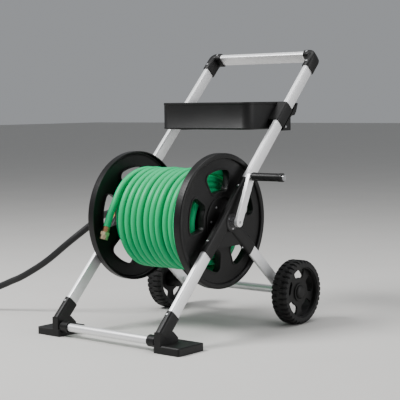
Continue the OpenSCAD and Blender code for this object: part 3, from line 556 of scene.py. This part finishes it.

# %% [markdown]
# ## Hose skins
# The garden hose is soft vinyl: a clear, cool green with a broad sheen and faint ribs left by
# the braid under its skin. In random clouds its colour turns towards a darker green, which is painted
# shade. The lead-in hose is the same skin in black, where the same clouds are a lighter film of dust.
# The ribs follow the hose, so they read the map that was laid along it.

# %% Hose skins


def hose_skin(name, colour, dust_and_shade_tone, rough, rib):
    """Vinyl: braid ribs across two slants of the hose's own map, a soft coat, and colour blended in
    random clouds towards a second tone, which is painted shade on the green hose and dust on the black
    one.
    """
    made = Finish(name, Coat_Roughness=0.28, Specular_IOR_Level=0.24)
    lay = made.node("ShaderNodeUVMap", {"uv_map": "lay"})
    parts = made.node("ShaderNodeSeparateXYZ", {}, {0: lay})
    around = Wire(made, parts.socket.node.outputs[0])
    along = Wire(made, parts.socket.node.outputs[1])
    slant = made.node("ShaderNodeMath", {"operation": "SINE"}, {0: around * 75.4 + along * 2.1})
    other = made.node("ShaderNodeMath", {"operation": "SINE"}, {0: around * 75.4 - along * 2.1})
    cloud = made.noise(7, 4.0, 0.6)
    grain = made.noise(420, 2.0)
    # Share of the second tone, up to about a third, in soft random clouds: painted shade on the green
    # hose, a film of dust on the black one.
    dust_and_shade_share = made.between(cloud, 0.45, 0.8) * 0.35
    return made.surface(
        Base_Color=made.blend(dust_and_shade_share, dye(*colour), dye(*dust_and_shade_tone)),
        Roughness=rough + (cloud - 0.5) * 0.15,
        Coat_Weight=0.10,
        Normal=made.bump(slant * other * 0.5 + grain, rib),
    )


# The green's second tone is a darker copy of its own colour, painted shade; the black's second tone is
# a lighter grey, dust.
green_vinyl = hose_skin("green_vinyl", (0.001, 0.43, 0.155), (0.003, 0.33, 0.125), 0.46, 0.00006)
black_vinyl = hose_skin("black_vinyl", (0.014, 0.014, 0.015), (0.03, 0.03, 0.028), 0.40, 0.00006)

# %% [markdown]
# ## Which part wears what

# %% Dressing the parts


def both(*names):
    """The right and the left one of each of these parts."""
    return [f"{side}_{name}" for name in names for side in ("right", "left")]


WEARS = [
    (side_aluminium, both("upper_tube", "lower_tube")),
    (cross_aluminium, ["handle_tube", "front_cross_bar", "rear_cross_tube"]),
    (leg_aluminium, both("rear_leg")),
    (arm_aluminium, ["crank_arm"]),
    (body_plastic, both("elbow", "foot", "bar_collar", "bracket", "axle_plug", "tray_bracket")),
    (body_plastic, both("tray_clip") + ["axle_spacers"]),
    (reel_plastic, both("flange") + ["drum", "water_elbow", "water_inlet"]),
    (wheel_plastic, both("wheel_rim", "hub_cap")),
    (tyre, both("tyre") + ["inlet_seals"]),
    (tray_plastic, ["storage_tray"]),
    (grip_plastic, ["grip"]),
    (bushing_plastic, ["shaft_bushing"]),
    (steel, ["axle", "crank_shaft", "crank_boss", "grip_bolt"]),
    (screw_steel, ["axle_nuts", "flange_screws", "crank_screw", "bushing_screws"]),
    (screw_steel, ["joint_screws", "tray_screws"]),
    (copper, ["hose_ferrule", "leader_inlet_ferrule", "leader_end_ferrule"]),
    (brass, ["hose_coupling", "leader_inlet_nut", "leader_end_nut"]),
    (green_vinyl, ["hose_winding", "hose_end"]),
    (black_vinyl, ["leader_hose", "leader_coil"]),
]


def wear(piece, material):
    """Puts one material on every face of a piece."""
    for slot in piece.material_slots:
        slot.material = material
    if not piece.material_slots:
        piece.data.materials.append(material)


for material, names in WEARS:
    for name in names:
        wear(nodes[name], material)
wear(green_hose, green_vinyl)
wear(leader_hose, black_vinyl)
print("dressed", sum(len(names) for _, names in WEARS), "parts")

# %% [markdown]
# ## Soft edges on moulded parts
# A mould can't make a sharp edge, and it is the thin bright line along a rounded edge that
# tells the eye that a part is plastic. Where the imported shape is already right, a copy of it
# has its loose triangles merged and its flat faces rejoined, and gets a narrow bevel.

# %% Softened copies


def softened(node, body, slot, width, angle=38, rings=2):
    """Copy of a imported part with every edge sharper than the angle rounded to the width."""
    mesh = nodes[node].data.copy()
    work = bmesh.new()
    work.from_mesh(mesh)
    bmesh.ops.remove_doubles(work, verts=work.verts, dist=2e-6)
    flat = math.radians(0.6)
    bmesh.ops.dissolve_limit(work, angle_limit=flat, verts=work.verts, edges=work.edges)
    for edge in work.edges:
        edge.smooth = len(edge.link_faces) != 2 or edge.calc_face_angle() < math.radians(angle)
    for face in work.faces:
        face.smooth = True
    work.to_mesh(mesh)
    work.free()
    mesh.materials.clear()
    if mesh.has_custom_normals:
        mesh.attributes.remove(mesh.attributes["custom_normal"])
    piece = bpy.data.objects.new(node + "_soft", mesh)
    bpy.context.scene.collection.objects.link(piece)
    bevel = piece.modifiers.new("edge", "BEVEL")
    bevel.width, bevel.segments, bevel.limit_method = width, rings, "ANGLE"
    bevel.angle_limit = math.radians(angle)
    bevel.use_clamp_overlap = True
    bevel.harden_normals = True
    return stands_for(piece, body, slot, node)


def stands_for(piece, body, slot, *names):
    """Says which body a piece moves with and which parts it replaces; slot, the finish it would take,
    is not used.
    """
    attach(piece, body)
    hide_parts(*names)
    return piece


MOULDED = [
    ("frame", "black_plastic", body_plastic, 0.0009, both("foot")),
    ("frame", "black_plastic", body_plastic, 0.0006, both("bracket")),
    ("frame", "black_plastic", body_plastic, 0.0008, both("tray_bracket")),
    ("frame", "black_plastic", body_plastic, 0.0012, both("tray_clip")),
    ("frame", "black_plastic", body_plastic, 0.0010, both("bar_collar")),
    ("reel", "reel_plastic", reel_plastic, 0.0008, both("flange")),
    ("reel", "aluminium", arm_aluminium, 0.0014, ["crank_arm"]),
    ("right_wheel", "wheel_plastic", wheel_plastic, 0.0008, ["right_wheel_rim", "right_hub_cap"]),
    ("left_wheel", "wheel_plastic", wheel_plastic, 0.0008, ["left_wheel_rim", "left_hub_cap"]),
]
for body, slot, material, width, names in MOULDED:
    for name in names:
        wear(softened(name, body, slot, width), material)
        print("softened", name)

# %% [markdown]
# ## Windows in the flanges
# Each flange has five windows, and each window is framed by a deep collar that stiffens the
# thin web and keeps the hose from snagging. A collar is one outline, grown and moved along
# the reel axis, so that it stands a little out of the web and reaches in towards the hose.

# %% Window collars
WINDOWS, FIRST_WINDOW = 5, 98
WINDOW_IN, WINDOW_OUT, WINDOW_HALF, WINDOW_R = 0.090, 0.155, math.radians(22.5), 0.017
WEB_FACE = 0.179  # outer face of a flange's web, from the middle of the reel


def window(grow):
    """Two arcs about the reel and four corner arcs, all moved outwards by grow."""
    outer = WINDOW_HALF - math.asin(WINDOW_R / (WINDOW_OUT - WINDOW_R))
    inner = WINDOW_HALF - math.asin(WINDOW_R / (WINDOW_IN + WINDOW_R))
    half, turn = WINDOW_HALF, np.pi

    def at(distance, angle):
        return distance * math.cos(angle), distance * math.sin(angle)

    far, near, round_r = WINDOW_OUT - WINDOW_R, WINDOW_IN + WINDOW_R, WINDOW_R + grow
    return np.concatenate(
        [
            arc(0, 0, WINDOW_OUT + grow, -outer, outer, 10),
            arc(*at(far, outer), round_r, outer, half + turn / 2, 8),
            arc(*at(near, inner), round_r, half + turn / 2, inner + turn, 8),
            arc(0, 0, WINDOW_IN - grow, inner, -inner, 5),
            arc(*at(near, -inner), round_r, turn - inner, 1.5 * turn - half, 8),
            arc(*at(far, -outer), round_r, 1.5 * turn - half, 2 * turn - outer, 8),
        ]
    )


def collars(side, depth):
    """Five collars of one flange; each station is (distance in from the web's face, growth)."""
    stations = [
        (-0.0010, 0.0044), (-0.0018, 0.0036), (-0.0020, 0.0012), (-0.0014, 0.0001),
        (-0.0004, -0.0004), (depth - 0.0006, -0.0004), (depth, 0.0002), (depth, 0.0018),
        (depth - 0.0006, 0.0023), (0.0035, 0.0026), (0.0030, 0.0044),
    ]
    centres = [(MIDDLE + side * (WEB_FACE - inward), REEL[1], REEL[2]) for inward, _ in stations]
    made = []
    for k in range(WINDOWS):
        a = math.radians(FIRST_WINDOW + 360 / WINDOWS * k)
        turned_to = np.array([[math.cos(a), math.sin(a)], [-math.sin(a), math.cos(a)]])
        outlines = np.stack([window(grow) @ turned_to for _, grow in stations])
        rear, up = np.array([0, 1.0, 0]), np.array([0, 0, 1.0])
        made.append(
            carried(f"collar_{k}", outlines, np.array(centres), rear, up, ends="joined", smooth=40)
        )
    piece = joined(("right" if side > 0 else "left") + "_window_collars", made)
    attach(piece, "reel")
    return piece


wear(collars(1, 0.022), reel_plastic)
wear(collars(-1, 0.013), reel_plastic)

# %% [markdown]
# ## The corners of the push handle
# Each corner is one sleeve that turns through a right angle. A crowned outline is carried up
# the side tube, round the bend and along the handle, and shrinks in its last millimetre at
# both ends, so that the lip is round where the tube slides in.

# %% Crowned outlines and sleeves
GAP, WALL = 0.00015, 0.005
TUBE = (0.039, 0.018, 0.005)
CROWN_R = 0.150


def crowned(profile, grow):
    """Tube outline, wide along y: four corner arcs and two wide sides of large radius."""
    width, thick, corner = profile
    a = width / 2 - corner
    b = math.sqrt((CROWN_R - corner) ** 2 - a * a) - (CROWN_R - thick / 2)
    t, c, p = math.asin(a / (CROWN_R - corner)), CROWN_R - thick / 2, math.pi
    big, small = CROWN_R + grow, corner + grow
    return np.concatenate(
        [
            arc(-c, 0, big, -t, t, 6), arc(b, a, small, t, p / 2, 5),
            arc(-b, a, small, p / 2, p - t, 5), arc(c, 0, big, p - t, p + t, 6),
            arc(-b, -a, small, p + t, 1.5 * p, 5), arc(b, -a, small, 1.5 * p, 2 * p - t, 5),
        ]
    )


LIP = np.array([(0.0006, 0.0001), (0.0, WALL - 0.0012), (0.0003, WALL - 0.0004), (0.0012, WALL)])


def elbow(side):
    """Sleeve up the tube, round a quarter turn and inwards along the handle."""
    grip = TUBE[1] / 2 + GAP + WALL
    bend = grip + 0.0003
    drop, reach = 0.059, 0.046
    lower = [(s - drop, 0.0, g) for s, g in LIP]
    turn = np.radians(np.linspace(0, 90, 13))
    corner = np.stack([bend * np.sin(turn) - bend, bend * np.cos(turn) - bend, turn * 0 + WALL], -1)
    upper = [(0.0, grip - reach + s, g) for s, g in LIP[::-1]]
    stations = np.array(lower + corner.tolist() + upper)
    up, out, grow = stations.T
    centres = np.stack([on_tube(side, HANDLE_S + u, 0, o) for u, o in zip(up, out)])
    lean = np.concatenate([np.zeros(len(lower)), turn, np.full(len(upper), np.pi / 2)])[:, None]
    xs = side * np.cos(lean) * ACROSS + np.sin(lean) * UP_TUBE
    outlines = np.stack([crowned(TUBE, g) for g in grow])
    name = ("right" if side > 0 else "left") + "_elbow"
    piece = carried(name + "_moulded", outlines, centres, xs, BEHIND_TUBE, smooth=35)
    return stands_for(piece, "frame", "black_plastic", name)


for side in (1, -1):
    wear(elbow(side), body_plastic)

# %% [markdown]
# ## The tray
# The tray is a thin shell with round corners, a rolled rim and a bead round its foot. One
# section, from the middle of its underside out, up, over the rim and down inside, is carried
# round a rounded rectangle that grows and shrinks with it.

# %% Tray


def rounded_frame(half_x, half_y, radius, steps=8):
    """Rounded rectangle for each row of sizes: four corner arcs about moved centres."""
    a = np.linspace(0, np.pi / 2, steps + 1)
    turns = np.concatenate([a, a + np.pi / 2, a + np.pi, a + 1.5 * np.pi])
    sx = np.repeat([1, -1, -1, 1], steps + 1)
    sy = np.repeat([1, 1, -1, -1], steps + 1)
    x = sx * (half_x - radius)[:, None] + radius[:, None] * np.cos(turns)
    y = sy * (half_y - radius)[:, None] + radius[:, None] * np.sin(turns)
    return np.stack([x, y], -1)


def tray():
    """Shell: outline offset and height follow one section from underside to inner floor."""
    low, high = (np.array(corner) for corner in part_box("storage_tray"))
    middle, half = (low + high) / 2, (high - low) / 2
    rim, corner, tall = 0.001, 0.034, high[2] - low[2]
    section = np.array(
        [(-0.040, 0), (-0.0050, 0), (-0.0022, 0.0004), (-0.0004, 0.0016), (0.0006, 0.0036)]
        + [(0.0009, 0.0050), (0.0004, 0.0062), (-0.0002, 0.0068), (0.0000, tall - 0.0082)]
        + [(0.0008, tall - 0.0076), (0.0010, tall - 0.0060), (0.0010, tall - 0.0014)]
        + [(0.0005, tall - 0.0004), (-0.0005, tall), (-0.0022, tall), (-0.0030, tall - 0.0006)]
        + [(-0.0033, tall - 0.0020), (-0.0036, 0.0130), (-0.0046, 0.0076), (-0.0076, 0.0044)]
        + [(-0.0130, 0.0032), (-0.0400, 0.0030)]
    )
    grow, height = section.T
    outlines = rounded_frame(
        half[0] - rim + grow, half[1] - rim + grow, np.maximum(corner + grow, 0.004)
    )
    centres = np.stack([grow * 0 + middle[0], grow * 0 + middle[1], low[2] + height], -1)
    piece = carried("tray_shell", outlines, centres, ACROSS, np.array([0, 1.0, 0]), smooth=50)
    return stands_for(piece, "frame", "black_plastic", "storage_tray")


wear(tray(), tray_plastic)

# %% [markdown]
# ## Tyres with tread
# The tread is two rows of blocks, and the rows are half a block out of step. The section is
# turned about the axle on a fine grid, and the radius drops by the depth of a groove where
# the angle falls in a gap, more and more towards the shoulder.

# %% Tyre with blocks
BLOCKS = 36
POINTS_PER_BLOCK = 14
TYRE_DEPTH = 0.0209  # from the tread in to the rim's seat
GROOVE, MIDDLE_GROOVE = 0.0048, 0.0022


def ramp(value, low, high):
    """0 to 1 between low and high, with soft ends: 3t^2 - 2t^3."""
    t = np.clip((value - low) / (high - low), 0, 1)
    return t * t * (3 - 2 * t)


def finer_tread(outline, tread_r):
    """Outline with its long run across the tread cut in seven, so that grooves have points."""
    runs = []
    for start, end in zip(outline, np.roll(outline, -1, axis=0)):
        on_tread = abs(end[1] - start[1]) > 0.02 and start[0] > tread_r
        t = np.linspace(0, 1, 7 if on_tread else 1, endpoint=False)[:, None]
        runs.append(start + (end - start) * t)
    return np.concatenate(runs)


def tyre_shell(side):
    """radius(a, z) = section radius - groove in the gaps near the shoulder - middle groove."""
    name = ("right" if side > 0 else "left") + "_tyre"
    low, high = (np.array(corner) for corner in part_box(name))
    wide, big = high[0] - low[0], (high[2] - low[2]) / 2
    seat = big - TYRE_DEPTH
    corners = [
        (seat, 0.0), (big - 0.006, 0.0), (big, 0.008), (big, wide - 0.008),
        (big - 0.006, wide), (seat, wide), (seat - 0.0012, wide - 0.005), (seat - 0.0012, 0.005),
    ]
    outline = rounded(corners, [0.001, 0.004, 0.005, 0.005, 0.004, 0.001, 0.001, 0.001], 4)
    fine = finer_tread(outline, big - 0.002)
    a = np.linspace(0, 2 * np.pi, BLOCKS * POINTS_PER_BLOCK, endpoint=False)[:, None]
    radius, z = fine[None, :, 0], fine[None, :, 1] - wide / 2
    phase = a / (2 * np.pi) * BLOCKS + np.where(z > 0, 0.5, 0.0)
    gap = 1 - ramp(np.abs(phase - np.round(phase)), 0.12, 0.20)
    shoulder = ramp(np.abs(z), 0.0045, 0.0080)
    tread = ramp(radius, big - 0.012, big - 0.005)
    middle = 1 - ramp(np.abs(z), 0.0012, 0.0026)
    groove = (GROOVE * gap * shoulder + MIDDLE_GROOVE * middle) * tread
    r = radius - groove
    x = np.broadcast_to(side * (z + wide / 2) + (low[0] if side > 0 else high[0]), r.shape)
    grid = np.stack([x, AXLE[1] + r * np.cos(a), AXLE[2] + r * np.sin(a)], -1)
    piece = skin(name + "_tread", grid, ends="joined", smooth=32)
    body = "right_wheel" if side > 0 else "left_wheel"
    return stands_for(piece, body, "tyre", name)


for side in (1, -1):
    shell = tyre_shell(side)
    wear(shell, tyre)
    print(shell.name, len(shell.data.polygons), "faces")

# %% [markdown]
# ## The crank's grip
# The grip is a plain turned handle, a little thicker at both ends so that the hand stays on it.

# %% Grip


def grip_sleeve():
    """Section with flared, rounded ends, turned about the grip's own axis."""
    low, high = (np.array(corner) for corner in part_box("grip"))
    r, hole, long = (high[2] - low[2]) / 2, 0.0053, high[0] - low[0]
    corners = [
        (hole, 0), (r - 0.0004, 0), (r, 0.006), (r - 0.0009, 0.017), (r - 0.0011, long / 2),
        (r - 0.0009, long - 0.017), (r, long - 0.006), (r - 0.0004, long), (hole, long),
    ]
    section = rounded(corners, [0.0008, 0.002, 0.004, 0.02, 0.1, 0.02, 0.004, 0.002, 0.0008], 5)
    centre = np.array([low[0], GRIP[1], GRIP[2]])
    piece = turned("grip_sleeve", section, centre, steps=64, smooth=50)
    return stands_for(piece, "grip", "crank_plastic", "grip")


wear(grip_sleeve(), grip_plastic)

# %% [markdown]
# ## Floor and light
# A pale floor and big soft lamps show the shapes without drawing attention. The key stands
# high on the left of the camera, as an open sky would, and the world fills in the shadows.

# %% Floor and lamps
floor_mesh = bpy.data.meshes.new("floor")
REACH = 30.0  # from the middle of the floor to its edges
floor_mesh.from_pydata(
    [(-REACH, -REACH, 0), (REACH, -REACH, 0), (REACH, REACH, 0), (-REACH, REACH, 0)], [], [(0, 1, 2, 3)]
)
floor = bpy.data.objects.new("floor", floor_mesh)
bpy.context.scene.collection.objects.link(floor)
floor_finish = Finish("floor", Roughness=0.85)
speckle = floor_finish.noise(3, 3.0)
wear(floor, floor_finish.surface(
    Base_Color=floor_finish.blend(speckle, dye(0.52, 0.51, 0.49), dye(0.56, 0.55, 0.53))
))


def lamp(name, place, target, size, power, colour=(1, 1, 1)):
    """Square lamp at a place, turned to face a target."""
    light = bpy.data.lights.new(name, "AREA")
    light.size, light.energy, light.color = size, power, colour
    made = bpy.data.objects.new(name, light)
    made.location = place
    made.rotation_euler = (Vector(target) - Vector(place)).to_track_quat("-Z", "Y").to_euler()
    bpy.context.scene.collection.objects.link(made)


lamp("key", (-1.5, -2.4, 3.6), (0, 0, 0.4), 1.5, 285)
lamp("top", (0.4, 0.4, 3.6), (0, 0, 0.4), 2.6, 70)
lamp("side", (3.6, 1.3, 1.3), (0, 0, 0.5), 2.6, 75)
world = bpy.data.worlds.new("world")
world.use_nodes = True
world.node_tree.nodes["Background"].inputs["Color"].default_value = (0.93, 0.96, 1.0, 1)
world.node_tree.nodes["Background"].inputs["Strength"].default_value = 0.34
bpy.context.scene.world = world
